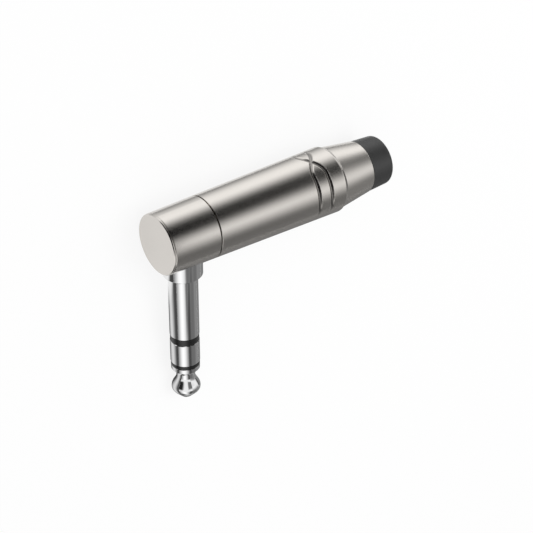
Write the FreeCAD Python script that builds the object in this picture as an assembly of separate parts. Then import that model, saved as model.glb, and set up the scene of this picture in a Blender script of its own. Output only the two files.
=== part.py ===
import FreeCAD, Part
import math
import os

# Stereo jack plug with a right-angle head and a screwed barrel, in millimetres.
# Every piece is first drawn upright: the barrel's axis is +X, the plug points to -Z, and
# both axes cross at the origin. At the end the whole plug is laid down on its side.
# "Along" is measured on the barrel's axis from the plug's axis; "drop" is measured on the
# plug's axis, downwards from the barrel's axis.

# Plug: contacts and insulators, from the shoulder to the tip
shaft_r = 3.175
sleeve_length = 15.05
sleeve_spacer_width = 1.49
ring_width = 5.41
tip_spacer_width = 0.86
tip_length = 8.98
spacer_recess = 0.07
contact_edge = 0.12
collar_flange = 1.065
collar_edge = 0.28
collar_proud = 2.54

# Tip: shoulder, neck, bulge and cone
tip_shoulder_setback = 0.075
tip_shoulder_length = 0.9
tip_shoulder_edge = 0.14
tip_neck_start = 1.75
tip_neck_end = 4.15
tip_bulge_setback = 0.055
tip_bulge_drop = 6.25
tip_bulge_corner = 0.24
tip_bulge_round = 1.0
tip_nose_r = 0.85
tip_nose_round = 0.45
tip_neck_round = 0.55
tip_flank_round = 1.8

# Tubes inside the plug and the tip's neck, as shares of the shaft's radius
sleeve_bore_share = 0.787
ring_tube_share = 0.646
ring_bore_share = 0.472
tip_rod_share = 0.331
tip_neck_share = 0.6425
tube_play = 0.03

# Head and barrel: one straight taper, measured at the plug's axis
body_r = 6.78
body_taper_deg = 0.9
head_front = -5.78
joint_along = 5.36
edge_bevel = 0.18
cap_proud = 0.35
cap_bevel = 0.16
cap_land = 0.84
cap_plug_depth = 0.85
cap_plug_draft = 0.1
cap_play = 0.03
cap_rim_inset = 0.06

# Inside the head
head_wall = 1.14
cavity_end = 4.2
floor_step = 1.05
floor_thickness = 1.6
seat_play = 0.03

# Threaded spigot of the head and the barrel's matching bore
shell_wall = 1.064
spigot_wall = 1.3
spigot_length = 9.0
spigot_edge = 0.4
spigot_relief_length = 1.2
spigot_relief_depth = 0.35
thread_play = 0.05
key_slot_width = 2.2
key_slot_length = 6.2
key_play = 0.1

# Solder lugs and washers, stacked upwards from the head's floor
lug_thickness = 0.4
stake_height = 0.3
stake_lip = 0.3
stake_edge = 0.12
sleeve_washer_rim = 0.425
sleeve_washer_thickness = 0.8
ring_washer_rim = 0.85
ring_washer_thickness = 0.7
ground_eye_play = 0.236
ring_eye_rim = 1.05
tip_eye_rim = 1.35
ground_lug_width = 2.6
ring_lug_width = 2.2
tip_lug_width = 2.2
ground_lug_reach = 13.8
ring_lug_reach = 11.4
tip_lug_reach = 13.0
tip_lug_jog_start = 2.6
tip_lug_jog_end = 4.8
tip_lug_height = 1.4
solder_hole_r = 0.65
rivet_lip = 0.55
rivet_height = 0.6
rivet_edge = 0.35

# Lug guide and insulating liner in the spigot's bore
guide_front_gap = 0.1
guide_length = 1.8
guide_slot_play = 0.08
liner_wall = 0.4
liner_play = 0.08
liner_end_gap = 0.15

# Strain-relief chuck
chuck_play = 0.3
chuck_front_gap = 0.1
chuck_edge = 0.2
chuck_cone_along = 33.2
chuck_cone_length = 5.4
chuck_cone_drop = 1.15
jaw_wall = 0.85
key_length = 5.9
key_root_length = 1.8
key_inner_gap = 0.05
key_top_gap = 0.3
jaw_slit = 1.2
jaw_slit_start = 21.0
jaw_count = 4
tooth_height = 0.3
tooth_root = 0.1
tooth_pitch = 1.3
tooth_setback = 0.78
tooth_count = 4
cone_play = 0.1

# Barrel: shell and tail
barrel_rim_along = 37.3
rim_round = 0.25
tail_step = 0.7
tail_step_drop = 0.416
tail_fall = 1.12
tail_rear_along = 46.19
tail_edge = 0.12
land_length = 1.0
socket_wall = 0.88
socket_depth = 6.2

# Crossing grip grooves of the barrel
groove_middle = 32.0
groove_spread = 1.62
groove_depth = 0.3
groove_ball_r = 0.62
groove_crossing_deg = 77.0
groove_swap_deg = 29.0
groove_first_deg = -28.0
groove_last_deg = 114.0
groove_fade_deg = 30.0
groove_run_out = 0.16
groove_outline_count = 11
groove_sets = 2

# Boot
boot_setback = 0.06
boot_front_edge = 0.1
boot_fall = 0.32
boot_end_round = 0.85
boot_length = 5.77
boot_wall = 1.3
boot_mouth = 0.35
boot_neck_play = 0.05
boot_neck_edge = 0.2
boot_bead_height = 0.3
boot_bead_width = 1.0
boot_bead_setback = 3.4
boot_bead_play = 0.08



def body_radius(along):
    """Outer radius of head and barrel, which share one straight taper."""
    return body_r + along * math.tan(math.radians(body_taper_deg))


# Radii that follow from the sizes above
sleeve_bore_r = shaft_r * sleeve_bore_share
ring_tube_r = shaft_r * ring_tube_share
ring_bore_r = shaft_r * ring_bore_share
tip_rod_r = shaft_r * tip_rod_share
collar_r = shaft_r + collar_flange
tip_shoulder_r = shaft_r - tip_shoulder_setback
tip_neck_r = shaft_r * tip_neck_share
tip_bulge_r = shaft_r - tip_bulge_setback
sleeve_washer_r = shaft_r + stake_lip + sleeve_washer_rim
ring_washer_r = ring_tube_r + stake_lip + ring_washer_rim
cap_plug_r = body_radius(head_front) - cap_land
cavity_r = body_radius(head_front) - head_wall
thread_bore_r = body_radius(joint_along) - shell_wall
spigot_r = thread_bore_r - thread_play
spigot_bore_r = spigot_r - spigot_wall
chuck_r = thread_bore_r - chuck_play
chuck_rear_r = chuck_r - chuck_cone_drop
chuck_bore_r = chuck_rear_r - jaw_wall
tail_front_r = body_radius(barrel_rim_along) - tail_step_drop
tail_rear_r = tail_front_r - tail_fall
socket_r = tail_rear_r - socket_wall
boot_front_r = tail_rear_r - boot_setback
boot_rear_r = boot_front_r - boot_fall
boot_neck_r = socket_r - boot_neck_play
boot_bore_r = boot_neck_r - boot_wall
boot_bead_r = boot_neck_r + boot_bead_height

# Places that follow from the sizes above
shoulder_drop = body_r + collar_proud
sleeve_end = shoulder_drop + sleeve_length
ring_start = sleeve_end + sleeve_spacer_width
ring_end = ring_start + ring_width
tip_start = ring_end + tip_spacer_width
tip_end = tip_start + tip_length
spigot_end = joint_along + spigot_length
floor_drop = spigot_bore_r - floor_step
collar_seat_drop = floor_drop + floor_thickness
ground_lug_top = floor_drop - lug_thickness
sleeve_top = ground_lug_top - stake_height
sleeve_washer_top = sleeve_top - sleeve_washer_thickness
ring_lug_top = sleeve_washer_top - lug_thickness
ring_top = ring_lug_top - stake_height
ring_washer_top = ring_top - ring_washer_thickness
tip_lug_top = ring_washer_top - lug_thickness
tip_lug_rise = ring_washer_top + tip_lug_height
guide_start = joint_along + guide_front_gap
liner_start = guide_start + guide_length
chuck_start = spigot_end + chuck_front_gap
chuck_end = chuck_cone_along + chuck_cone_length
tail_along = barrel_rim_along + tail_step
socket_start = tail_rear_along - socket_depth
boot_end = tail_rear_along + boot_length
bead_along = tail_rear_along - boot_bead_setback

origin = FreeCAD.Vector(0, 0, 0)
along_x = FreeCAD.Vector(1, 0, 0)
along_y = FreeCAD.Vector(0, 1, 0)


def corner(before, here, after, radius):
    """Start, middle and end of the arc that rounds the corner at here."""
    to_before = (before - here).normalize()
    to_after = (after - here).normalize()
    half = to_before.getAngle(to_after) / 2
    reach = radius / math.tan(half)
    centre = here + (to_before + to_after).normalize() * (radius / math.sin(half))
    middle = centre + (here - centre).normalize() * radius
    return here + to_before * reach, middle, here + to_after * reach


def rounded_wire(points):
    """Closed wire in the XZ plane from (along, radius) or (along, radius, rounding) points."""
    places = [FreeCAD.Vector(point[0], 0, point[1]) for point in points]
    count = len(points)
    stations = []
    for i in range(count):
        rounding = points[i][2] if len(points[i]) > 2 else 0
        if rounding:
            stations.append(corner(places[i - 1], places[i], places[(i + 1) % count], rounding))
        else:
            stations.append((places[i],))
    edges = []
    for i in range(count):
        station = stations[i]
        if len(station) == 3:
            edges.append(Part.Arc(*station).toShape())
        following = stations[(i + 1) % count][0]
        if station[-1].distanceToPoint(following) > 1e-6:
            edges.append(Part.LineSegment(station[-1], following).toShape())
    return Part.Wire(edges)


def turned(points):
    """Solid turned about +X from its half section."""
    return Part.Face(rounded_wire(points)).revolve(origin, along_x, 360)


def tube(start, end, outer_r, inner_r):
    """Plain tube along +X."""
    return turned([(start, inner_r), (start, outer_r), (end, outer_r), (end, inner_r)])


def rod(start, end, radius):
    """Plain cylinder along +X."""
    return Part.makeCylinder(radius, end - start, FreeCAD.Vector(start, 0, 0), along_x)


def block(low, high):
    """Box between two corners."""
    low = FreeCAD.Vector(*low)
    size = FreeCAD.Vector(*high) - low
    return Part.makeBox(size.x, size.y, size.z, low)


def hang(shape):
    """Turns a piece drawn along +X so that it hangs along the plug, towards -Z."""
    shape.rotate(origin, along_y, 90)
    return shape


def make_plug_sleeve():
    """Ground contact: shaft, collar and staked shank, turned in one piece."""
    return hang(turned([
        (sleeve_top, sleeve_bore_r),
        (sleeve_top, shaft_r + stake_lip - stake_edge),
        (sleeve_top + stake_edge, shaft_r + stake_lip),
        (ground_lug_top, shaft_r + stake_lip),
        (ground_lug_top, shaft_r),
        (collar_seat_drop, shaft_r),
        (collar_seat_drop, collar_r),
        (shoulder_drop - collar_edge, collar_r),
        (shoulder_drop, collar_r - collar_edge),
        (shoulder_drop, shaft_r),
        (sleeve_end - contact_edge, shaft_r),
        (sleeve_end, shaft_r - contact_edge),
        (sleeve_end, sleeve_bore_r),
    ]))


def make_outer_insulator():
    """Tube that keeps the ring contact off the sleeve."""
    return hang(tube(sleeve_top, sleeve_end, sleeve_bore_r - tube_play, ring_tube_r + tube_play))


def make_sleeve_spacer():
    """Black ring between the sleeve and the ring contact."""
    return hang(tube(sleeve_end, ring_start, shaft_r - spacer_recess, ring_tube_r + tube_play))


def make_ring_contact():
    """Ring contact and its tube, which is staked over the ring lug."""
    return hang(turned([
        (ring_top, ring_bore_r),
        (ring_top, ring_tube_r + stake_lip - stake_edge),
        (ring_top + stake_edge, ring_tube_r + stake_lip),
        (ring_lug_top, ring_tube_r + stake_lip),
        (ring_lug_top, ring_tube_r),
        (ring_start, ring_tube_r),
        (ring_start, shaft_r - contact_edge),
        (ring_start + contact_edge, shaft_r),
        (ring_end - contact_edge, shaft_r),
        (ring_end, shaft_r - contact_edge),
        (ring_end, ring_bore_r),
    ]))


def make_inner_insulator():
    """Tube that keeps the tip rod off the ring contact."""
    return hang(tube(ring_top, ring_end, ring_bore_r - tube_play, tip_rod_r + tube_play))


def make_tip_spacer():
    """Black ring between the ring contact and the tip."""
    return hang(tube(ring_end, tip_start, shaft_r - spacer_recess, tip_rod_r + tube_play))


def make_tip_contact():
    """Tip, its rod through the whole plug and the rivet head that holds the stack."""
    shoulder_end = tip_start + tip_shoulder_length
    return hang(turned([
        (tip_lug_top - rivet_height, 0),
        (tip_lug_top - rivet_height, tip_rod_r + rivet_lip - rivet_edge),
        (tip_lug_top - rivet_height + rivet_edge, tip_rod_r + rivet_lip),
        (tip_lug_top, tip_rod_r + rivet_lip),
        (tip_lug_top, tip_rod_r),
        (tip_start, tip_rod_r),
        (tip_start, tip_shoulder_r - contact_edge),
        (tip_start + contact_edge, tip_shoulder_r),
        (shoulder_end - tip_shoulder_edge, tip_shoulder_r),
        (shoulder_end, tip_shoulder_r - tip_shoulder_edge),
        (tip_start + tip_neck_start, tip_neck_r, tip_neck_round),
        (tip_start + tip_neck_end, tip_neck_r, tip_flank_round),
        (tip_start + tip_bulge_drop, tip_bulge_r + tip_bulge_corner, tip_bulge_round),
        (tip_end, tip_nose_r, tip_nose_round),
        (tip_end, 0),
    ]))


def make_head_housing():
    """Cast head: tapered body, flat floor inside, collar seat, and threaded spigot."""
    front_r = body_radius(head_front)
    joint_r = body_radius(joint_along)
    relief_end = joint_along + spigot_relief_length
    relief_r = spigot_r - spigot_relief_depth
    housing = turned([
        (head_front, 0),
        (head_front, front_r - edge_bevel),
        (head_front + edge_bevel, front_r),
        (joint_along - edge_bevel, joint_r),
        (joint_along, joint_r - edge_bevel),
        (joint_along, relief_r),
        (relief_end, relief_r),
        (relief_end + spigot_relief_depth, spigot_r),
        (spigot_end - spigot_edge, spigot_r),
        (spigot_end, spigot_r - spigot_edge),
        (spigot_end, 0),
    ])
    cavity = rod(head_front, cavity_end, cavity_r)
    below_floor = block((head_front, -body_r, -body_r), (cavity_end, body_r, -floor_drop))
    housing = housing.cut(cavity.cut(below_floor))
    housing = housing.cut(rod(head_front, head_front + cap_plug_depth, cap_plug_r + cap_play))
    housing = housing.cut(rod(0, spigot_end, spigot_bore_r).cut(below_floor))
    housing = housing.cut(hang(rod(collar_seat_drop, shoulder_drop, collar_r + seat_play)))
    housing = housing.cut(hang(rod(floor_drop, collar_seat_drop, shaft_r + seat_play)))
    slot_start = spigot_end - key_slot_length
    slots = block(
        (slot_start, -spigot_r, -key_slot_width / 2),
        (spigot_end, spigot_r, key_slot_width / 2),
    )
    return housing.cut(slots)


def make_end_cap():
    """Pressed disc that closes the head's front."""
    rim_r = body_radius(head_front) - cap_rim_inset
    face = head_front - cap_proud
    return turned([
        (face, 0),
        (face, rim_r - cap_bevel),
        (face + cap_bevel, rim_r),
        (head_front, rim_r),
        (head_front, cap_plug_r),
        (head_front + cap_plug_depth, cap_plug_r - cap_plug_draft),
        (head_front + cap_plug_depth, 0),
    ])


def lug_blank(eye_r, hole_r, width, reach, bottom):
    """Flat solder lug: eye round the plug's axis and a strip with a rounded, drilled end."""
    top = bottom - lug_thickness
    end_centre = reach - width / 2
    eye = Part.makeCylinder(eye_r, lug_thickness, FreeCAD.Vector(0, 0, -bottom))
    strip = block((0, -width / 2, -bottom), (end_centre, width / 2, -top))
    end_place = FreeCAD.Vector(end_centre, 0, -bottom)
    round_end = Part.makeCylinder(width / 2, lug_thickness, end_place)
    lug = eye.fuse([strip, round_end]).removeSplitter()
    lug = lug.cut(Part.makeCylinder(hole_r, lug_thickness, FreeCAD.Vector(0, 0, -bottom)))
    return lug.cut(Part.makeCylinder(solder_hole_r, lug_thickness, end_place))


def make_ground_lug():
    """Lug staked under the sleeve's lip."""
    hole_r = shaft_r + tube_play
    eye_r = math.sqrt(cavity_r ** 2 - floor_drop ** 2) - ground_eye_play
    return lug_blank(eye_r, hole_r, ground_lug_width, ground_lug_reach, floor_drop)


def make_ring_lug():
    """Lug staked under the lip of the ring contact's tube."""
    hole_r = ring_tube_r + tube_play
    eye_r = ring_tube_r + ring_eye_rim
    return lug_blank(eye_r, hole_r, ring_lug_width, ring_lug_reach, sleeve_washer_top)


def make_tip_lug():
    """Lug under the rod's rivet head, jogged upwards to clear the ring lug."""
    bottom = ring_washer_top
    eye_r = tip_rod_r + tip_eye_rim
    flat = lug_blank(eye_r, tip_rod_r + tube_play, tip_lug_width, tip_lug_reach, bottom)
    eye = flat.common(block((-eye_r, -eye_r, -bottom), (tip_lug_jog_start, eye_r, -tip_lug_top)))
    strip = flat.cut(block((-eye_r, -eye_r, -bottom), (tip_lug_jog_end, eye_r, -tip_lug_top)))
    strip.translate(FreeCAD.Vector(0, 0, tip_lug_rise))
    side = -tip_lug_width / 2
    corners = [
        FreeCAD.Vector(tip_lug_jog_start, side, -bottom),
        FreeCAD.Vector(tip_lug_jog_end, side, -bottom + tip_lug_rise),
        FreeCAD.Vector(tip_lug_jog_end, side, -tip_lug_top + tip_lug_rise),
        FreeCAD.Vector(tip_lug_jog_start, side, -tip_lug_top),
    ]
    jog = Part.Face(Part.makePolygon(corners + corners[:1])).extrude(along_y * tip_lug_width)
    return eye.fuse([jog, strip]).removeSplitter()


def make_sleeve_washer():
    """Insulating washer between the sleeve's lip and the ring lug."""
    return hang(tube(sleeve_washer_top, sleeve_top, sleeve_washer_r, ring_tube_r + tube_play))


def make_ring_washer():
    """Insulating washer between the ring contact's lip and the tip lug."""
    return hang(tube(ring_washer_top, ring_top, ring_washer_r, tip_rod_r + tube_play))


def make_lug_guide():
    """Moulded disc in the spigot's mouth with a slot for each lug."""
    guide = rod(guide_start, liner_start, spigot_bore_r - liner_play)
    slots = [
        (ground_lug_width, floor_drop),
        (ring_lug_width, sleeve_washer_top),
        (tip_lug_width, ring_washer_top - tip_lug_rise),
    ]
    for width, bottom in slots:
        half = width / 2 + guide_slot_play
        guide = guide.cut(block(
            (guide_start, -half, -bottom - guide_slot_play),
            (liner_start, half, -bottom + lug_thickness + guide_slot_play),
        ))
    return guide


def make_insulating_liner():
    """Tube that keeps the soldered wires off the metal spigot."""
    outer_r = spigot_bore_r - liner_play
    return tube(liner_start, spigot_end - liner_end_gap, outer_r, outer_r - liner_wall)


def make_chuck():
    """Strain-relief chuck: keyed front ring and slit jaws with gripping teeth."""
    chuck = turned([
        (chuck_start, chuck_bore_r),
        (chuck_start, chuck_r - chuck_edge),
        (chuck_start + chuck_edge, chuck_r),
        (chuck_cone_along, chuck_r),
        (chuck_end, chuck_rear_r),
        (chuck_end, chuck_bore_r),
    ])
    for i in range(tooth_count):
        crest = chuck_end - tooth_setback - tooth_pitch * i
        foot = tooth_pitch / 2
        tooth = turned([
            (crest - foot, chuck_bore_r),
            (crest - foot, chuck_bore_r + tooth_root),
            (crest + foot, chuck_bore_r + tooth_root),
            (crest + foot, chuck_bore_r),
            (crest, chuck_bore_r - tooth_height),
        ])
        chuck = chuck.fuse(tooth)
    for i in range(jaw_count // 2):
        slit = block((jaw_slit_start, -chuck_r, -jaw_slit / 2), (chuck_end, chuck_r, jaw_slit / 2))
        slit.rotate(origin, along_x, 180 / jaw_count + i * 360 / jaw_count)
        chuck = chuck.cut(slit)
    half = key_slot_width / 2 - key_play
    for side in (-1, 1):
        near = side * (spigot_bore_r + key_inner_gap)
        far = side * (spigot_r - key_top_gap)
        chuck = chuck.fuse(block(
            (chuck_start - key_length, min(near, far), -half),
            (chuck_start + key_root_length, max(near, far), half),
        ))
    return chuck.removeSplitter()


def ball_centre(side, angle):
    """Centre of the ball cutter, which swaps places with its twin and rises at both ends."""
    swap = max(-1, min(1, (groove_crossing_deg - angle) / groove_swap_deg))
    along = groove_middle + side * groove_spread * math.sin(math.pi / 2 * swap)
    to_end = min(angle - groove_first_deg, groove_last_deg - angle)
    fade = max(0, 1 - to_end / groove_fade_deg) ** 2
    depth = groove_depth - (groove_depth + groove_run_out) * fade
    radius = body_radius(along) + groove_ball_r - depth
    turn = math.radians(angle)
    return FreeCAD.Vector(along, -radius * math.cos(turn), radius * math.sin(turn))


def groove(side):
    """Round-bottomed groove, lofted through the ball's outlines along its path."""
    step = (groove_last_deg - groove_first_deg) / (groove_outline_count - 1)
    outlines = []
    for i in range(groove_outline_count):
        angle = groove_first_deg + i * step
        centre = ball_centre(side, angle)
        ahead = ball_centre(side, angle + 1) - ball_centre(side, angle - 1)
        outward = FreeCAD.Vector(0, centre.y, centre.z)
        outline = Part.makeCircle(groove_ball_r)
        outline.Placement = FreeCAD.Placement(centre, FreeCAD.Rotation(outward, origin, ahead, "ZXY"))
        outlines.append(Part.Wire(outline))
    return Part.makeLoft(outlines, True)


def make_barrel():
    """Turned shell: threaded front bore, squeezing cone, boot socket, and tail."""
    front_r = body_radius(joint_along)
    rim_r = body_radius(barrel_rim_along)
    cone_slope = (chuck_r - chuck_rear_r) / chuck_cone_length
    cone_start = chuck_cone_along - (thread_bore_r - chuck_r - cone_play) / cone_slope
    land_start = socket_start - land_length
    land_r = thread_bore_r - (land_start - cone_start) * cone_slope
    groove_start = bead_along - boot_bead_width / 2 - boot_bead_play
    groove_end = bead_along + boot_bead_width / 2 + boot_bead_play
    groove_r = boot_bead_r + boot_bead_play
    barrel = turned([
        (joint_along, thread_bore_r + edge_bevel),
        (joint_along, front_r - edge_bevel),
        (joint_along + edge_bevel, front_r),
        (barrel_rim_along, rim_r, rim_round),
        (tail_along, tail_front_r),
        (tail_rear_along - tail_edge, tail_rear_r + tail_edge / 4),
        (tail_rear_along, tail_rear_r - tail_edge),
        (tail_rear_along, socket_r),
        (groove_end, socket_r),
        (groove_end, groove_r),
        (groove_start, groove_r),
        (groove_start, socket_r),
        (socket_start, socket_r),
        (socket_start, land_r),
        (land_start, land_r),
        (cone_start, thread_bore_r),
        (joint_along + edge_bevel, thread_bore_r),
    ])
    for i in range(groove_sets):
        for side in (-1, 1):
            cutter = groove(side)
            cutter.rotate(origin, along_x, i * 360 / groove_sets)
            barrel = barrel.cut(cutter)
    return barrel


def make_boot():
    """Soft boot: neck with a snap bead in the tail's socket, and the part that shows."""
    neck_start = socket_start + boot_neck_play
    bead_start = bead_along - boot_bead_width / 2
    bead_end = bead_along + boot_bead_width / 2
    return turned([
        (neck_start, boot_bore_r),
        (neck_start, boot_neck_r - boot_neck_edge),
        (neck_start + boot_neck_edge, boot_neck_r),
        (bead_start, boot_neck_r),
        (bead_start + boot_bead_width / 4, boot_bead_r),
        (bead_end, boot_bead_r),
        (bead_end, boot_neck_r),
        (tail_rear_along, boot_neck_r),
        (tail_rear_along, boot_front_r - boot_front_edge),
        (tail_rear_along + boot_front_edge, boot_front_r),
        (boot_end, boot_rear_r, boot_end_round),
        (boot_end, boot_bore_r + boot_mouth),
        (boot_end - boot_mouth, boot_bore_r),
    ])


def lie_down(shape):
    """Lays the upright plug on the floor, on the barrel's rim and the tip's bulge."""
    rim_r = body_radius(barrel_rim_along)
    bulge_drop = tip_start + tip_bulge_drop
    reach = math.hypot(bulge_drop, tip_bulge_r)
    roll = math.asin(rim_r / reach) - math.atan(tip_bulge_r / bulge_drop)
    plug_reach = tip_end * math.cos(roll)
    shape.rotate(origin, along_x, math.degrees(roll) - 90)
    middle_x = (head_front - cap_proud + boot_end) / 2
    middle_y = (rim_r - plug_reach) / 2
    shape.translate(FreeCAD.Vector(-middle_x, -middle_y, rim_r))
    return shape


pieces = {
    "head_housing": make_head_housing,
    "end_cap": make_end_cap,
    "plug_sleeve": make_plug_sleeve,
    "outer_insulator": make_outer_insulator,
    "sleeve_spacer": make_sleeve_spacer,
    "ring_contact": make_ring_contact,
    "inner_insulator": make_inner_insulator,
    "tip_spacer": make_tip_spacer,
    "tip_contact": make_tip_contact,
    "ground_lug": make_ground_lug,
    "sleeve_washer": make_sleeve_washer,
    "ring_lug": make_ring_lug,
    "ring_washer": make_ring_washer,
    "tip_lug": make_tip_lug,
    "lug_guide": make_lug_guide,
    "insulating_liner": make_insulating_liner,
    "chuck": make_chuck,
    "barrel": make_barrel,
    "boot": make_boot,
}

os.makedirs("parts", exist_ok=True)
for name, make in pieces.items():
    lie_down(make()).exportStep("parts/" + name + ".step")
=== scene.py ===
"""Looks of a right-angle stereo jack plug: finishes, grip grooves, threads and studio.

The file is laid out as an add-on and run as a script. All lengths are in metres, in the
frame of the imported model: the plug lies on the floor, the barrel's axis runs along +X.
"""

import math

import bmesh
import bpy
from mathutils import Matrix, Vector


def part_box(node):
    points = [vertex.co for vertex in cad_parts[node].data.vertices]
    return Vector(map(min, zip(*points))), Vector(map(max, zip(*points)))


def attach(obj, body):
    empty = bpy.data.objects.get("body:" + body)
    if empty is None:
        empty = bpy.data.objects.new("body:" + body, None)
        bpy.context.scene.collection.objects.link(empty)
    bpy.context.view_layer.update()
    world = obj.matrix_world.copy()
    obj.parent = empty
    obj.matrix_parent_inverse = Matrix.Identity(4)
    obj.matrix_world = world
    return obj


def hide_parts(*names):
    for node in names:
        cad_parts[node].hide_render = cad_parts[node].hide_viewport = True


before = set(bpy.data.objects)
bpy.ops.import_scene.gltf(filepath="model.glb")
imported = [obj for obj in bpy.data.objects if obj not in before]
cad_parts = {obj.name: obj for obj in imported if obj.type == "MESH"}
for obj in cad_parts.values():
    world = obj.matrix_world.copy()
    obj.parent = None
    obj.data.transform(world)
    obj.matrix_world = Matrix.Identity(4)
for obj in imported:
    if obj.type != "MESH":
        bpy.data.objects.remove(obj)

bl_info = {
    "name": "Jack plug looks",
    "version": (1, 0, 0),
    "blender": (4, 5, 0),
    "location": "View3D > Sidebar > Jack plug",
    "description": "Finishes, grip grooves, threads and studio for a right-angle stereo jack plug",
    "category": "Object",
}

mm = 0.001

barrel_angles = 400
tip_angles = 128
thread_rows_a_turn = 8
ridge_steps_a_turn = 96
grip_from_r = 5.9 * mm
crease_deg = 28


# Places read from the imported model

def middle(node):
    """Centre of a node's box."""
    low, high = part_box(node)
    return (low + high) / 2


barrel_axis = middle("boot")
plug_x = middle("plug_sleeve").x
barrel_front_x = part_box("barrel")[0].x
barrel_rear_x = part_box("barrel")[1].x
# Turn by which the part rolls until both the barrel's rim and the tip rest on the floor.
roll = math.radians(6.381)

# The part is drawn upright, with the plug hanging to -Z, and then laid on its side.
upright_to_row = (
    Matrix.Translation(Vector((plug_x, barrel_axis.y, barrel_axis.z)))
    @ Matrix.Rotation(roll - math.pi / 2, 4, "X")
)


def row_place(along, across, up):
    """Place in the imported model's frame of a point given upright, in millimetres."""
    return upright_to_row @ Vector((along * mm, across * mm, up * mm))


# Sizes and colours that a user would change

def length(name, description, default):
    """A length property in metres."""
    return bpy.props.FloatProperty(
        name=name, description=description, default=default, unit="LENGTH", precision=5)


def colour(name, description, default):
    """A colour property."""
    return bpy.props.FloatVectorProperty(
        name=name, description=description, default=default, subtype="COLOR", min=0, max=1)


def share(name, description, default):
    """A property from 0 to 1."""
    return bpy.props.FloatProperty(
        name=name, description=description, default=default, min=0, max=1, subtype="FACTOR")


class JackPlugSizes(bpy.types.PropertyGroup):
    """Sizes of the visible detail."""

    shell_front_r: length(
        "Shell radius at the joint", "Outer radius of the barrel's front", 6.864 * mm)
    shell_rim_r: length(
        "Shell radius at the rim", "Outer radius where the tail cone starts", 7.362 * mm)
    rim_along: length("Rim place", "Distance from the plug's axis to the barrel's rim", 37.3 * mm)
    tail_step: length("Tail step", "Length of the bevel between rim and tail", 0.7 * mm)
    tail_front_r: length("Tail front radius", "Larger radius of the tail cone", 6.95 * mm)
    tail_rear_r: length("Tail rear radius", "Smaller radius of the tail cone", 5.83 * mm)
    groove_middle: length(
        "Groove place", "Distance from the plug's axis to the middle of the grooves", 32.0 * mm)
    groove_spread: length("Groove spread", "Half the distance between the two grooves", 1.62 * mm)
    groove_depth: length("Groove depth", "Depth of the grip grooves", 0.34 * mm)
    groove_half_width: length("Groove half width", "Half the width of a grip groove", 0.52 * mm)
    # Painted shade: inside the grooves the satin colour is darkened to this share of its
    # brightness, though the metal there is as bright as elsewhere.
    painted_shade_brightness: share(
        "Groove tone", "Brightness kept by the satin finish inside the grooves", 0.45)
    tip_drop: length(
        "Tip place", "Distance from the barrel's axis to the tip's shoulder", 32.13 * mm)
    bore_r: length("Bore radius", "Radius of the barrel's threaded bore", 5.8 * mm)
    thread_pitch: length("Thread pitch", "Travel of the barrel in one turn", 1.0 * mm)
    thread_depth: length("Thread depth", "Height of the thread's ridge", 0.24 * mm)
    thread_play: length("Thread play", "Gap between the ridge and its groove", 0.04 * mm)
    grain: length("Blasting grain", "Size of the grain of the satin finish", 0.09 * mm)


class JackPlugColours(bpy.types.PropertyGroup):
    """Colours and roughness of the finishes."""

    satin: colour("Satin nickel", "Colour of the head and the barrel", (0.655, 0.625, 0.589))
    satin_roughness: share("Satin roughness", "Roughness of the head and the barrel", 0.23)
    bright: colour("Bright nickel", "Colour of the contacts", (0.82, 0.82, 0.822))
    bright_roughness: share("Bright roughness", "Roughness of the contacts", 0.07)
    insulator: colour(
        "Black insulator", "Colour of the rings between the contacts", (0.010, 0.010, 0.010))
    boot: colour("Boot", "Colour of the cable boot", (0.028, 0.028, 0.028))
    inner: colour("White insulator", "Colour of the hidden insulators", (0.80, 0.78, 0.72))
    chuck: colour("Chuck", "Colour of the strain relief", (0.075, 0.075, 0.08))
    lug: colour("Solder lug", "Colour of the tinned lugs", (0.72, 0.70, 0.64))


# Materials

def shader_tree(name):
    """A new node material, its tree and its main shader."""
    material = bpy.data.materials.new(name)
    material.use_nodes = True
    tree = material.node_tree
    return material, tree, tree.nodes["Principled BSDF"]


def noise(tree, size, detail, stretch=(1, 1, 1)):
    """Noise with features of the given size, in the object's own coordinates."""
    place = tree.nodes.new("ShaderNodeTexCoord")
    mapping = tree.nodes.new("ShaderNodeMapping")
    mapping.inputs["Scale"].default_value = stretch
    texture = tree.nodes.new("ShaderNodeTexNoise")
    texture.inputs["Scale"].default_value = 1 / size
    texture.inputs["Detail"].default_value = detail
    tree.links.new(place.outputs["Object"], mapping.inputs["Vector"])
    tree.links.new(mapping.outputs["Vector"], texture.inputs["Vector"])
    return texture.outputs["Fac"]


def ranged(tree, value, low, high):
    """The value, from 0.3 to 0.7, spread over a range."""
    spread = tree.nodes.new("ShaderNodeMapRange")
    spread.inputs["From Min"].default_value = 0.3
    spread.inputs["From Max"].default_value = 0.7
    spread.inputs["To Min"].default_value = low
    spread.inputs["To Max"].default_value = high
    tree.links.new(value, spread.inputs["Value"])
    return spread.outputs["Result"]


def tinted(tree, value, tint, variation):
    """The tint, a little darker and lighter with the value."""
    mix = tree.nodes.new("ShaderNodeMix")
    mix.data_type = "RGBA"
    mix.inputs["A"].default_value = (*[c * (1 - variation) for c in tint], 1)
    mix.inputs["B"].default_value = (*[min(1, c * (1 + variation)) for c in tint], 1)
    tree.links.new(value, mix.inputs["Factor"])
    return mix.outputs["Result"]


def bumped(tree, shader, value, depth):
    """Bump of the given depth on the shader."""
    bump = tree.nodes.new("ShaderNodeBump")
    bump.inputs["Strength"].default_value = 1
    bump.inputs["Distance"].default_value = depth
    tree.links.new(value, bump.inputs["Height"])
    tree.links.new(bump.outputs["Normal"], shader.inputs["Normal"])


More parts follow.
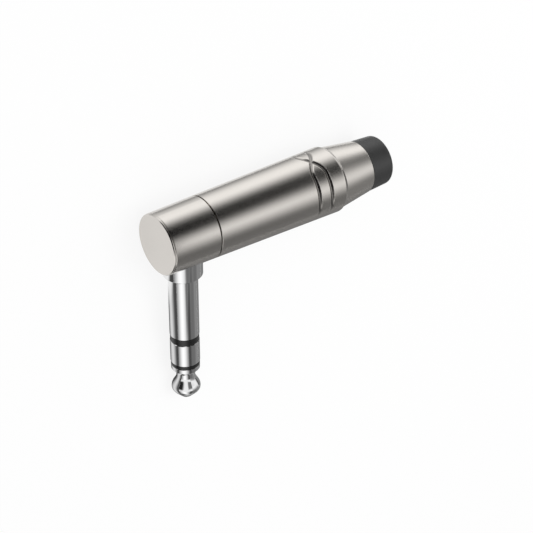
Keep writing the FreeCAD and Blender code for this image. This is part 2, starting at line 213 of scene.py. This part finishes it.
def satin_nickel(sizes, colours):
    """Plated over a fine bead-blasted surface: broad highlights, fine grain, and painted shade that
    darkens the colour inside the grooves.
    """
    material, tree, shader = shader_tree("satin_nickel")
    shader.inputs["Metallic"].default_value = 1
    cloud = noise(tree, 6 * mm, 2)
    grain = noise(tree, sizes.grain, 3)
    # Painted shade: the colour darkens inside the grooves, following the barrel's groove attribute.
    inside = tree.nodes.new("ShaderNodeAttribute")
    inside.attribute_name = "groove"
    shade = tree.nodes.new("ShaderNodeMix")
    shade.data_type = "RGBA"
    tree.links.new(inside.outputs["Fac"], shade.inputs["Factor"])
    dark = [c * sizes.painted_shade_brightness for c in colours.satin]
    tree.links.new(tinted(tree, cloud, colours.satin, 0.02), shade.inputs["A"])
    tree.links.new(tinted(tree, cloud, dark, 0.02), shade.inputs["B"])
    tree.links.new(shade.outputs["Result"], shader.inputs["Base Color"])
    rough = colours.satin_roughness
    tree.links.new(ranged(tree, grain, rough - 0.03, rough + 0.03), shader.inputs["Roughness"])
    bumped(tree, shader, grain, 0.004 * mm)
    return material


def bright_nickel(colours):
    """Plated over a turned surface: a mirror with the faintest turning lines."""
    material, tree, shader = shader_tree("bright_nickel")
    shader.inputs["Metallic"].default_value = 1
    lines = noise(tree, 0.12 * mm, 2, (0.02, 1, 0.15))
    cloud = noise(tree, 3 * mm, 2)
    tree.links.new(tinted(tree, cloud, colours.bright, 0.015), shader.inputs["Base Color"])
    rough = colours.bright_roughness
    tree.links.new(ranged(tree, cloud, rough - 0.01, rough + 0.02), shader.inputs["Roughness"])
    bumped(tree, shader, lines, 0.0002 * mm)
    return material


def moulded(name, tint, roughness, grain_size, grain_depth, variation=0.08):
    """Moulded plastic or rubber with a fine eroded surface."""
    material, tree, shader = shader_tree(name)
    grain = noise(tree, grain_size, 3)
    cloud = noise(tree, 20 * grain_size, 2)
    tree.links.new(tinted(tree, cloud, tint, variation), shader.inputs["Base Color"])
    uneven = ranged(tree, cloud, roughness - 0.04, roughness + 0.04)
    tree.links.new(uneven, shader.inputs["Roughness"])
    bumped(tree, shader, grain, grain_depth)
    return material


def tinned_brass(colours):
    """Dip-tinned lugs: uneven, softly shining."""
    material, tree, shader = shader_tree("tinned_brass")
    shader.inputs["Metallic"].default_value = 1
    pools = noise(tree, 1.2 * mm, 3)
    tree.links.new(tinted(tree, pools, colours.lug, 0.1), shader.inputs["Base Color"])
    tree.links.new(ranged(tree, pools, 0.18, 0.38), shader.inputs["Roughness"])
    bumped(tree, shader, pools, 0.02 * mm)
    return material


def finish_node(name, material):
    """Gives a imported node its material."""
    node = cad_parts[name]
    node.data.materials.clear()
    node.data.materials.append(material)


def new_piece(name, vertices, faces, material):
    """A smooth mesh object from lists of vertices and faces."""
    mesh = bpy.data.meshes.new(name)
    mesh.from_pydata(vertices, [], faces)
    mesh.validate()
    mesh.materials.append(material)
    mesh.polygons.foreach_set("use_smooth", [True] * len(mesh.polygons))
    piece = bpy.data.objects.new(name, mesh)
    bpy.context.scene.collection.objects.link(piece)
    return piece


# Barrel

def groove_cut(sizes, along, angle):
    """Depth of the crossing grip grooves at a place on the barrel, in metres."""
    # Two equal pairs lie half a turn apart; the seam between them is clear of both.
    seam = math.radians(47)
    angle = (angle + seam) % math.pi - seam
    first, last = math.radians(-28), math.radians(114)
    fade_length = math.radians(42)
    crossing, swap_length = math.radians(77), math.radians(29)
    blunt = 0.18
    to_end = min(angle - first, last - angle)
    if to_end <= 0:
        return 0
    fade = max(0, 1 - to_end / fade_length) ** 2
    swap = max(-1, min(1, (crossing - angle) / swap_length))
    swing = sizes.groove_spread * math.sin(math.pi / 2 * swap)
    slope = 0
    if abs(swap) < 1:
        slope = sizes.groove_spread * math.pi / 2 / swap_length * math.cos(math.pi / 2 * swap)
    across = 1 / math.hypot(1, slope / sizes.shell_rim_r)
    depth = sizes.groove_depth * (1 - fade)
    cut = 0
    for side in (-1, 1):
        off = abs(along - sizes.groove_middle - side * swing) * across / sizes.groove_half_width
        rise = (math.hypot(off, blunt) - blunt) / (math.hypot(1, blunt) - blunt)
        cut = max(cut, depth * (1 - rise))
    return cut


def on_grip(sizes, along, radius):
    """Whether a point of the barrel's outline lies on its outer face before the rim."""
    return radius > grip_from_r and along < sizes.rim_along


def painted_shade_share(sizes, points, index):
    """Share of painted shade at a vertex of the barrel: how deep it lies in a groove, from 0
    outside to 1 at the bottom.
    """
    turn, i = divmod(index, len(points))
    along, radius = points[i]
    if not on_grip(sizes, along, radius):
        return 0
    cut = groove_cut(sizes, along, 2 * math.pi * turn / barrel_angles) / sizes.groove_depth
    shoulder, steepness = 0.2, 2.2
    return max(0, min(1, steepness * cut - shoulder))


def barrel_outline(sizes):
    """Half section of the barrel as (along, radius), from its front round to the bore's end."""
    front = barrel_front_x - plug_x
    rear = barrel_rear_x - plug_x
    slot_width, slot_depth, edge = 0.16 * mm, 0.55 * mm, 0.05 * mm
    entry_r = sizes.bore_r + sizes.thread_depth + 2 * sizes.thread_play
    socket_r, socket_depth = 4.95 * mm, 6.2 * mm
    land_r, land_end, cone_end = 4.37 * mm, 7.2 * mm, 13.5 * mm
    rim = sizes.rim_along
    rim_round = 0.14 * mm
    tail = rim + sizes.tail_step
    fine = 0.06 * mm
    support = 0.08 * mm
    points = [
        (front, entry_r), (front, sizes.shell_front_r - slot_depth),
        (front + slot_width, sizes.shell_front_r - slot_depth),
        (front + slot_width, sizes.shell_front_r - edge),
        (front + slot_width + edge, sizes.shell_front_r),
    ]
    body_start = front + slot_width + edge + support
    taper = (sizes.shell_rim_r - sizes.shell_front_r) / (rim - front)
    zone_start = sizes.groove_middle - sizes.groove_spread - 1.5 * sizes.groove_half_width
    zone_end = sizes.groove_middle + sizes.groove_spread + 1.5 * sizes.groove_half_width
    body_steps = 12
    for i in range(body_steps + 1):
        along = body_start + (zone_start - body_start) * i / body_steps
        points.append((along, sizes.shell_front_r + taper * (along - front)))
    zone_steps = round((zone_end - zone_start) / fine)
    for i in range(1, zone_steps + 1):
        along = zone_start + (zone_end - zone_start) * i / zone_steps
        points.append((along, sizes.shell_front_r + taper * (along - front)))
    points.append((rim - 2 * rim_round, sizes.shell_rim_r - 2 * rim_round * taper))
    fall = (sizes.shell_rim_r - sizes.tail_front_r) / sizes.tail_step
    start = Vector((rim - rim_round, sizes.shell_rim_r - rim_round * taper))
    corner = Vector((rim, sizes.shell_rim_r))
    end = Vector((rim + rim_round, sizes.shell_rim_r - rim_round * fall))
    rim_steps = 6
    for i in range(rim_steps + 1):
        t = i / rim_steps
        spot = start.lerp(corner, t).lerp(corner.lerp(end, t), t)
        points.append((spot.x, spot.y))
    points += [
        (rim + rim_round + support, sizes.shell_rim_r - (rim_round + support) * fall),
        (tail - support, sizes.tail_front_r + support * fall),
    ]
    tail_slope = (sizes.tail_front_r - sizes.tail_rear_r) / (rear - tail)
    tail_end = rear - 0.14 * mm
    tail_places = [tail + i / 5 * (tail_end - tail) for i in range(6)]
    for along in (tail_places[0], tail + support, *tail_places[1:5], tail_end - support, tail_end):
        points.append((along, sizes.tail_front_r - tail_slope * (along - tail)))
    points += [
        (rear - 0.05 * mm, sizes.tail_rear_r - 0.03 * mm), (rear, sizes.tail_rear_r - 0.14 * mm),
        (rear, socket_r), (rear - socket_depth, socket_r), (rear - socket_depth, land_r),
        (rear - land_end, land_r), (rear - cone_end, sizes.bore_r),
    ]
    return points


def ring_angles(count):
    """Even angles round a full turn."""
    return [2 * math.pi * i / count for i in range(count)]


def lathe(points, angles, place):
    """Vertices and faces of a closed half section turned into a ring of sections."""
    vertices = [
        place(i, along, radius, angle)
        for angle in angles for i, (along, radius) in enumerate(points)
    ]
    around, high = len(angles), len(points)
    faces = []
    for a in range(around):
        b = (a + 1) % around
        for i in range(high):
            j = (i + 1) % high
            faces.append((a * high + i, a * high + j, b * high + j, b * high + i))
    return vertices, faces


def flowing(points, steps):
    """Smooth run of points through the given ones, with so many steps between two."""
    spots = [Vector(point) for point in points]
    run = []
    for i in range(len(spots) - 1):
        before, start = spots[max(i - 1, 0)], spots[i]
        end, after = spots[i + 1], spots[min(i + 2, len(spots) - 1)]
        for k in range(steps):
            t = k / steps
            spot = (
                start * 2 + (end - before) * t
                + (before * 2 - start * 5 + end * 4 - after) * t ** 2
                + (start * 3 - before - end * 3 + after) * t ** 3) / 2
            run.append((spot.x, spot.y))
    return run + [tuple(points[-1])]


def welded(piece):
    """Merges the vertices that meet, as on the axis of a turned piece."""
    body = bmesh.new()
    body.from_mesh(piece.data)
    bmesh.ops.remove_doubles(body, verts=body.verts, dist=0.0001 * mm)
    bmesh.ops.recalc_face_normals(body, faces=body.faces)
    body.to_mesh(piece.data)
    body.free()


def thread_groove(sizes, along, angle):
    """Depth of the bore's thread at a place, a little wider than the spigot's ridge, in metres."""
    turn = along / sizes.thread_pitch + angle / (2 * math.pi)
    off = abs(turn - round(turn))
    foot, crest = 0.47, 0.20
    rise = (foot - off) / (foot - crest)
    return (sizes.thread_depth + sizes.thread_play) * max(0, min(1, rise))


def sharpen(piece, limit_deg):
    """Splits the shading of a smooth piece where its faces turn by more than the limit."""
    with bpy.context.temp_override(
            object=piece, active_object=piece,
            selected_objects=[piece], selected_editable_objects=[piece]):
        bpy.ops.object.shade_smooth_by_angle(angle=math.radians(limit_deg))


class JACKPLUG_OT_barrel(bpy.types.Operator):
    """Builds the barrel with its bevels, rounded rim, grip grooves and threaded bore"""

    bl_idname = "jackplug.barrel"
    bl_label = "Barrel"

    def execute(self, context):
        sizes = context.scene.jack_plug_sizes
        material = satin_nickel(sizes, context.scene.jack_plug_colours)
        points = barrel_outline(sizes)

        def on_barrel(i, along, radius, angle):
            if on_grip(sizes, along, radius):
                radius -= groove_cut(sizes, along, angle)
            elif i in thread_rows:
                radius += thread_groove(sizes, along, angle)
            spot = (along, -radius * math.cos(angle), radius * math.sin(angle))
            return upright_to_row @ Vector(spot)

        entry_end = barrel_front_x - plug_x + 0.5 * mm
        thread_turns = 9
        rows = thread_turns * thread_rows_a_turn
        thread_rows = range(len(points), len(points) + rows)
        points += [
            (entry_end + (rows - k) / thread_rows_a_turn * sizes.thread_pitch, sizes.bore_r)
            for k in range(rows)]
        points.append((entry_end, points[0][1]))
        vertices, faces = lathe(points, ring_angles(barrel_angles), on_barrel)
        shell = new_piece("barrel_shell", vertices, faces, material)
        # Mask of painted shade: how deep each vertex lies in a groove, which the material darkens.
        inside = shell.data.attributes.new("groove", "FLOAT", "POINT")
        depths = [painted_shade_share(sizes, points, i) for i in range(len(vertices))]
        inside.data.foreach_set("value", depths)
        sharpen(shell, crease_deg)
        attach(shell, "barrel")
        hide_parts("barrel")
        return {"FINISHED"}


def spigot_ridge(sizes):
    """Ridge of the spigot's thread: closed lengths that stop at the two key slots and run out."""
    root_r = sizes.bore_r - 0.09 * mm
    spigot_r = sizes.bore_r - 0.05 * mm
    start, end, slots_from = 6.95 * mm, 13.9 * mm, 8.16 * mm
    slot_share = 1.2 / 5.75
    run_out_steps = 16
    count = round((end - start) / sizes.thread_pitch * ridge_steps_a_turn)

    def step(k):
        """Distance and angle of a step, and whether it falls in a key slot."""
        along = start + k / ridge_steps_a_turn * sizes.thread_pitch
        angle = -along / sizes.thread_pitch * 2 * math.pi
        return along, angle, along > slots_from and abs(math.sin(angle)) < slot_share

    vertices, faces = [], []
    last = None
    for k in range(count + 1):
        along, angle, in_slot = step(k)
        if in_slot:
            last = None
            continue
        run_out = min(1, (k + 1) / run_out_steps, (count + 1 - k) / run_out_steps)
        crest_r = spigot_r + sizes.thread_depth * run_out
        row = len(vertices)
        for off, radius in ((-0.34, root_r), (-0.06, crest_r), (0.06, crest_r), (0.34, root_r)):
            spot = (
                along + off * sizes.thread_pitch,
                -radius * math.cos(angle), radius * math.sin(angle))
            vertices.append(upright_to_row @ Vector(spot))
        if last is None:
            faces.append((row, row + 1, row + 2, row + 3))
        else:
            faces += [
                (last + i, last + (i + 1) % 4, row + (i + 1) % 4, row + i) for i in range(4)]
        if (k == count or step(k + 1)[2]) and last is not None:
            faces.append((row + 3, row + 2, row + 1, row))
        last = row
    return vertices, faces


class JACKPLUG_OT_head(bpy.types.Operator):
    """Gives the head and its end cap their satin plating and winds the spigot's thread"""

    bl_idname = "jackplug.head"
    bl_label = "Head"

    def execute(self, context):
        material = satin_nickel(context.scene.jack_plug_sizes, context.scene.jack_plug_colours)
        for name in ("head_housing", "end_cap"):
            finish_node(name, material)
        vertices, faces = spigot_ridge(context.scene.jack_plug_sizes)
        ridge = new_piece("spigot_thread", vertices, faces, material)
        welded(ridge)
        sharpen(ridge, crease_deg)
        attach(ridge, "head")
        return {"FINISHED"}


def tip_outline(sizes):
    """Half section of the tip with its rod and rivet head, as (drop, radius)."""
    tip = sizes.tip_drop
    rod_r, rivet_r = 1.05 * mm, 1.6 * mm
    rivet_top, rivet_foot = -0.5 * mm, 0.1 * mm
    shoulder_r, shoulder, edge = 3.1 * mm, 1.1 * mm, 0.1 * mm
    # Places on the tip's flowing contour, in millimetres below its shoulder.
    ball = [
        (1.17, 2.90), (1.30, 2.62), (1.62, 2.26), (2.1, 2.06), (2.7, 2.03), (3.3, 2.06),
        (3.9, 2.21), (4.5, 2.54), (5.05, 2.86), (5.6, 3.07), (6.15, 3.12), (6.6, 3.02),
        (7.05, 2.70), (7.6, 2.15), (8.2, 1.57), (8.6, 1.15), (8.85, 0.72), (8.95, 0.32), (8.98, 0)]
    points = [
        (rivet_top, 0), (rivet_top, rivet_r - 0.35 * mm), (rivet_top + 0.35 * mm, rivet_r),
        (rivet_foot, rivet_r), (rivet_foot, rod_r), (tip, rod_r), (tip, shoulder_r - edge),
        (tip + edge, shoulder_r), (tip + shoulder - edge, shoulder_r),
        (tip + shoulder, shoulder_r - edge)]
    points += flowing([(tip + drop * mm, radius * mm) for drop, radius in ball], 4)
    return points


def on_plug(i, drop, radius, angle):
    """Place on a piece that is turned about the plug's axis."""
    return upright_to_row @ Vector((radius * math.cos(angle), radius * math.sin(angle), -drop))


class JACKPLUG_OT_contacts(bpy.types.Operator):
    """Turns the tip, plates the contacts and gives the spacers their black plastic"""

    bl_idname = "jackplug.contacts"
    bl_label = "Contacts and spacers"

    def execute(self, context):
        colours = context.scene.jack_plug_colours
        plating = bright_nickel(colours)
        for name in ("plug_sleeve", "ring_contact"):
            finish_node(name, plating)
        outline = tip_outline(context.scene.jack_plug_sizes)
        vertices, faces = lathe(outline, ring_angles(tip_angles), on_plug)
        tip = new_piece("tip_turned", vertices, faces, plating)
        welded(tip)
        sharpen(tip, 25)
        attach(tip, "head")
        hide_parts("tip_contact")
        plastic = moulded("black_insulator", colours.insulator, 0.24, 0.08 * mm, 0.002 * mm)
        for name in ("sleeve_spacer", "tip_spacer"):
            finish_node(name, plastic)
        return {"FINISHED"}


class JACKPLUG_OT_inside(bpy.types.Operator):
    """Finishes the lugs, washers, tubes and the strain relief inside the shell"""

    bl_idname = "jackplug.inside"
    bl_label = "Inner pieces"

    def execute(self, context):
        colours = context.scene.jack_plug_colours
        white = moulded("white_insulator", colours.inner, 0.4, 0.1 * mm, 0.003 * mm, 0.03)
        for name in ("outer_insulator", "inner_insulator", "sleeve_washer", "ring_washer",
                     "lug_guide", "insulating_liner"):
            finish_node(name, white)
        tinned = tinned_brass(colours)
        for name in ("ground_lug", "ring_lug", "tip_lug"):
            finish_node(name, tinned)
        finish_node("chuck", moulded("chuck_plastic", colours.chuck, 0.45, 0.1 * mm, 0.004 * mm))
        return {"FINISHED"}


class JACKPLUG_OT_boot(bpy.types.Operator):
    """Gives the cable boot its fine matte rubber"""

    bl_idname = "jackplug.boot"
    bl_label = "Cable boot"

    def execute(self, context):
        colours = context.scene.jack_plug_colours
        finish_node("boot", moulded("boot_rubber", colours.boot, 0.40, 0.09 * mm, 0.006 * mm))
        return {"FINISHED"}


# Stage: floor, white surroundings, graded cards that draw the bands on the metal, and camera

def floor_material():
    """White floor: it takes a shadow, and shows white to the eye and in the metal."""
    material = bpy.data.materials.new("floor_white")
    material.use_nodes = True
    tree = material.node_tree
    tree.nodes.clear()
    seen = seen_directly(tree)
    pale, white_share = 0.86, 0.86
    paper = tree.nodes.new("ShaderNodeBsdfDiffuse")
    paper.inputs["Color"].default_value = (pale, pale, pale, 1)
    white = tree.nodes.new("ShaderNodeEmission")
    white.inputs["Color"].default_value = (1, 1, 1, 1)
    white.inputs["Strength"].default_value = 1
    amount = tree.nodes.new("ShaderNodeMath")
    amount.operation = "MULTIPLY"
    amount.inputs[1].default_value = white_share
    mix = tree.nodes.new("ShaderNodeMixShader")
    out = tree.nodes.new("ShaderNodeOutputMaterial")
    tree.links.new(seen, amount.inputs[0])
    tree.links.new(amount.outputs[0], mix.inputs[0])
    tree.links.new(paper.outputs[0], mix.inputs[1])
    tree.links.new(white.outputs[0], mix.inputs[2])
    tree.links.new(mix.outputs[0], out.inputs["Surface"])
    return material


def seen_directly(tree):
    """1 for rays from the camera, from a mirror or through glass, else 0."""
    light_path = tree.nodes.new("ShaderNodeLightPath")
    total = None
    for ray in ("Is Camera Ray", "Is Glossy Ray", "Is Transmission Ray"):
        if total is None:
            total = light_path.outputs[ray]
            continue
        larger = tree.nodes.new("ShaderNodeMath")
        larger.operation = "MAXIMUM"
        tree.links.new(total, larger.inputs[0])
        tree.links.new(light_path.outputs[ray], larger.inputs[1])
        total = larger.outputs[0]
    return total


def white_world(scene):
    """World that is white where it is seen and gives a plain soft light elsewhere."""
    world = bpy.data.worlds.new("white_surroundings")
    world.use_nodes = True
    tree = world.node_tree
    tree.nodes.clear()
    soft = tree.nodes.new("ShaderNodeBackground")
    soft.inputs["Color"].default_value = (1, 1, 1, 1)
    soft.inputs["Strength"].default_value = 0.75
    white = tree.nodes.new("ShaderNodeBackground")
    white.inputs["Color"].default_value = (1, 1, 1, 1)
    white.inputs["Strength"].default_value = 1
    mix = tree.nodes.new("ShaderNodeMixShader")
    out = tree.nodes.new("ShaderNodeOutputWorld")
    tree.links.new(seen_directly(tree), mix.inputs[0])
    tree.links.new(soft.outputs[0], mix.inputs[1])
    tree.links.new(white.outputs[0], mix.inputs[2])
    tree.links.new(mix.outputs[0], out.inputs["Surface"])
    scene.world = world


def card_material():
    """Glow of a graded card: its colour attribute holds the brightness and, as alpha, the cover."""
    material = bpy.data.materials.new("graded_card")
    material.use_nodes = True
    material.cycles.emission_sampling = "NONE"
    tree = material.node_tree
    tree.nodes.clear()
    grade = tree.nodes.new("ShaderNodeAttribute")
    grade.attribute_name = "grade"
    glow = tree.nodes.new("ShaderNodeEmission")
    clear = tree.nodes.new("ShaderNodeBsdfTransparent")
    mix = tree.nodes.new("ShaderNodeMixShader")
    out = tree.nodes.new("ShaderNodeOutputMaterial")
    tree.links.new(grade.outputs["Color"], glow.inputs["Color"])
    tree.links.new(grade.outputs["Alpha"], mix.inputs[0])
    tree.links.new(clear.outputs[0], mix.inputs[1])
    tree.links.new(glow.outputs[0], mix.inputs[2])
    tree.links.new(mix.outputs[0], out.inputs["Surface"])
    return material


def graded_card(name, material, place, bands, ends):
    """Studio card that shows only in reflections.

    Each band is (position, brightness, cover) across the card, each end (distance, cover)
    along it, and place gives the spot of a position and a distance.
    """
    mesh = bpy.data.meshes.new(name)
    vertices = [place(position, distance) for position, _, _ in bands for distance, _ in ends]
    high = len(ends)
    faces = [
        (i * high + j, i * high + j + 1, (i + 1) * high + j + 1, (i + 1) * high + j)
        for i in range(len(bands) - 1) for j in range(high - 1)
    ]
    mesh.from_pydata(vertices, [], faces)
    grade = mesh.color_attributes.new("grade", "FLOAT_COLOR", "POINT")
    grades = [(light, light, light, cover * fade) for _, light, cover in bands for _, fade in ends]
    for spot, value in zip(grade.data, grades):
        spot.color = value
    mesh.materials.append(material)
    board = bpy.data.objects.new(name, mesh)
    board.visible_camera = False
    board.visible_diffuse = False
    board.visible_shadow = False
    bpy.context.scene.collection.objects.link(board)


def studio_cards():
    """Graded cards that draw the soft light and dark bands along the barrel and the plug."""
    material = card_material()
    reach = 0.43
    card_lift = 0.4 * mm
    row_turn = upright_to_row.to_3x3()

    def round_barrel(angle, along):
        turn = math.radians(angle)
        side = row_turn @ Vector((0, -math.cos(turn), math.sin(turn)))
        return Vector((plug_x + along, barrel_axis.y, barrel_axis.z)) + reach * side

    def behind_barrel(angle, along):
        spot = round_barrel(angle, along)
        return spot + 0.02 * (spot - barrel_axis)

    def round_plug(angle, down):
        turn = math.radians(angle)
        return row_place(0, 0, 0) + row_turn @ Vector(
            (-reach * math.sin(turn), -reach * math.cos(turn), -down))

    def on_floor(across, along):
        return Vector((plug_x + along, barrel_axis.y + across, card_lift))

    def left_of_plug(across, along):
        return Vector((plug_x - across, barrel_axis.y - along, card_lift))

    def beside_head(across, up):
        edge_x, edge_up, lean = plug_x - 0.012, 0.014, 0.57
        return Vector((edge_x + lean * (up - edge_up), barrel_axis.y + across, up))

    def ahead_of_tip(across, along):
        return left_of_plug(across, along) + Vector((0, 0, card_lift))

    # The walls stand round the plug's axis; an azimuth counts from the wall's own middle.
    def front_wall(azimuth, up):
        turn = math.radians(azimuth)
        return Vector((plug_x + reach * math.sin(turn), barrel_axis.y - reach * math.cos(turn), up))

    def right_wall(azimuth, up):
        turn = math.radians(azimuth)
        return Vector((plug_x + reach * math.cos(turn), barrel_axis.y + reach * math.sin(turn), up))

    def left_wall(azimuth, up):
        turn = math.radians(azimuth)
        return Vector((plug_x - reach * math.cos(turn), barrel_axis.y + reach * math.sin(turn), up))

    graded_card(
        "tail_dome", material, behind_barrel,
        [(-83, .26, 1), (-60, .27, 1), (-40, .25, 1), (-29, .31, 1), (-18, .52, 1), (-7, .80, 1),
         (3, 1.0, 1), (13, 1.0, 1), (22, .90, 1), (32, .68, 1), (41, .48, 1), (50, .33, 1),
         (60, .25, 1), (70, .24, 1), (80, .32, 1), (90, .55, 1), (96, .75, 1)],
        [(.28, 0), (.30, 1), (.75, 1), (1.0, 0)])
    graded_card(
        "barrel_dome", material, round_barrel,
        [(-83, .22, 1), (-60, .19, 1), (-40, .17, 1), (-29, .28, 1), (-18, .52, 1), (-7, .82, 1),
         (3, 1.08, 1), (13, .95, 1), (22, .66, 1), (32, .28, 1), (41, .06, 1), (50, .0, 1),
         (60, .0, 1), (70, .01, 1), (80, .14, 1), (90, .5, 1), (96, .78, 1)],
        [(.06, 0), (.13, 1), (.30, 1), (.38, 0)])
    graded_card(
        "plug_dome", material, round_plug,
        [(-32, .12, 0), (-20, .10, 1), (-6, .07, 1), (3, .10, 1), (10, .38, 1), (18, .60, 1),
         (26, .88, 1), (34, 1.1, 1), (46, 1.25, 1), (58, 1.12, 1), (65, .88, 1), (74, .6, 1),
         (82, .35, 1), (86, .2, 1)],
        [(.4 * reach, 0), (.5 * reach, 1), (1.2 * reach, 1), (3 * reach, 1)])
    graded_card(
        "left_wall", material, left_wall,
        [(-22, .03, 0), (-2, .02, 1), (30, .02, 1), (70, .02, 1), (95, .02, 0)],
        [(.0, 1), (.20, 1), (.38, 0)])
    graded_card(
        "groove_shade", material, beside_head,
        [(-.041, .2, 0), (-.035, .2, 1), (-.010, .15, 1), (.0, .02, 1), (.08, .02, 1)],
        [(.022, 0), (.026, 1), (.062, 1)])
    graded_card(
        "groove_shade_low", material, beside_head,
        [(-.003, .05, 0), (.0, .02, 1), (.08, .02, 1)],
        [(.003, 1), (.026, 1)])
    graded_card(
        "front_wall", material, front_wall,
        [(-40, .06, 0), (-30, .05, 1), (-18, .04, 1), (-10, .25, 1), (-3, .75, 1), (3, .75, 1),
         (9, .4, 1), (17, .36, 1), (23, .3, 0)],
        [(.0, 1), (.07, 1), (.14, 0)])
    graded_card(
        "floor_ahead", material, ahead_of_tip,
        [(-.02, .3, 1), (-.005, .36, 1), (-.002, .6, 1), (.0, .75, 1), (.002, .4, 1),
         (.006, .08, 1), (.03, .06, 1)],
        [(.044, 0), (.050, 1), (.3, 1)])
    graded_card(
        "right_wall", material, right_wall,
        [(-32, .1, 0), (-20, .1, 1), (20, .1, 1), (32, .1, 0)],
        [(.0, 1), (.08, 1), (.17, 0)])
    graded_card(
        "floor_end", material, on_floor,
        [(-.0080, .12, 1), (.008, .12, 1), (.014, .12, 0)],
        [(.058, 0), (.066, 1), (.3, 1), (.45, 0)])
    graded_card(
        "floor_far_left", material, on_floor,
        [(-.016, .08, 0), (-.010, .08, 1), (.15, .08, 1), (.3, .1, 0)],
        [(-.4, 1), (-.045, 1), (-.022, 0)])
    graded_card(
        "floor_back", material, on_floor,
        [(.0075, .2, 1), (.010, .55, 1), (.013, .95, 1), (.018, 1.25, 1), (.03, 1.32, 1),
         (.06, 1.2, 1), (.15, .85, 1), (.5, .7, 1)],
        [(-.02, 0), (.0, 1), (.25, 1), (.5, 0)])
    graded_card(
        "floor_front", material, on_floor,
        [(-.5, .22, 1), (-.03, .25, 1), (-.0115, .2, 1), (-.0075, .12, 1)],
        [(.005, 0), (.009, 1), (.4, 1), (.7, 0)])
    graded_card(
        "floor_left", material, left_of_plug,
        [(-.009, .2, 1), (-.003, .15, 1), (.0016, .05, 1), (.0026, .1, 1), (.0034, .4, 1),
         (.0045, .72, 1), (.0062, .84, 1), (.009, .55, 1), (.0125, .28, 1),
         (.017, .1, 1), (.03, .07, 1), (.1, .08, 1), (.4, .2, 1)],
        [(.014, 0), (.019, 1), (.2, 1), (.4, 0)])


def ground(scene):
    """The white floor, wide enough to fill the view."""
    reach = 1.5
    mesh = bpy.data.meshes.new("floor")
    mesh.from_pydata(
        [(-reach, -reach, 0), (reach, -reach, 0), (reach, reach, 0), (-reach, reach, 0)],
        [], [(0, 1, 2, 3)])
    mesh.materials.append(floor_material())
    floor = bpy.data.objects.new("floor", mesh)
    scene.collection.objects.link(floor)


def soft_lamp(scene):
    """Large soft lamp above the plug; the metal shows the cards instead of it."""
    lamp = bpy.data.lights.new("soft_top", "AREA")
    lamp.shape = "RECTANGLE"
    lamp.size = 0.4
    lamp.size_y = 0.3
    lamp.energy = 1.0
    light = bpy.data.objects.new("soft_top", lamp)
    light.location = (0.10, 0.10, 0.45)
    light.rotation_euler = Vector(light.location).to_track_quat("Z", "Y").to_euler()
    light.visible_glossy = False
    scene.collection.objects.link(light)


def photo_camera(scene):
    """Camera at the photograph's place, whose upward side is the plug's upright one."""
    lens = bpy.data.cameras.new("photo_camera")
    lens.sensor_width = 36
    lens.lens = 123.45
    lens.clip_start = 0.01
    lens.clip_end = 10
    camera = bpy.data.objects.new("photo_camera", lens)
    # Eye and aim as fitted to the photograph, in millimetres of the upright part.
    eye = row_place(-173.106, -263.056, 201.748)
    target = row_place(15.055, -8.821, -8.867)
    overhead = upright_to_row.to_3x3() @ Vector((0, 0, 1))
    back = (eye - target).normalized()
    right = overhead.cross(back).normalized()
    up = back.cross(right)
    camera.matrix_world = Matrix.Translation(eye) @ Matrix((right, up, back)).transposed().to_4x4()
    scene.collection.objects.link(camera)
    scene.camera = camera


class JACKPLUG_OT_stage(bpy.types.Operator):
    """Builds the floor, the light, the cards and the camera"""

    bl_idname = "jackplug.stage"
    bl_label = "Stage"

    def execute(self, context):
        scene = context.scene
        scene.view_settings.view_transform = "Standard"
        ground(scene)
        white_world(scene)
        studio_cards()
        soft_lamp(scene)
        photo_camera(scene)
        return {"FINISHED"}


class JACKPLUG_PT_panel(bpy.types.Panel):
    """Lists the steps that dress the plug"""

    bl_idname = "JACKPLUG_PT_panel"
    bl_label = "Jack plug"
    bl_space_type = "VIEW_3D"
    bl_region_type = "UI"
    bl_category = "Jack plug"

    def draw(self, context):
        layout = self.layout
        for group in (context.scene.jack_plug_sizes, context.scene.jack_plug_colours):
            box = layout.box()
            for name in group.__annotations__:
                box.prop(group, name)
        for operator in operators:
            layout.operator(operator.bl_idname)


operators = (
    JACKPLUG_OT_head,
    JACKPLUG_OT_barrel,
    JACKPLUG_OT_contacts,
    JACKPLUG_OT_inside,
    JACKPLUG_OT_boot,
    JACKPLUG_OT_stage,
)
classes = (JackPlugSizes, JackPlugColours, *operators, JACKPLUG_PT_panel)


def register():
    """Registers the classes and hangs the settings on the scene."""
    for cls in classes:
        bpy.utils.register_class(cls)
    bpy.types.Scene.jack_plug_sizes = bpy.props.PointerProperty(type=JackPlugSizes)
    bpy.types.Scene.jack_plug_colours = bpy.props.PointerProperty(type=JackPlugColours)


def unregister():
    """Takes the settings and the classes out again."""
    del bpy.types.Scene.jack_plug_colours
    del bpy.types.Scene.jack_plug_sizes
    for cls in reversed(classes):
        bpy.utils.unregister_class(cls)


def main():
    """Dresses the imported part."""
    register()
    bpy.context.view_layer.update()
    for operator in operators:
        group, name = operator.bl_idname.split(".")
        getattr(getattr(bpy.ops, group), name)()


if __name__ == "__main__":
    main()
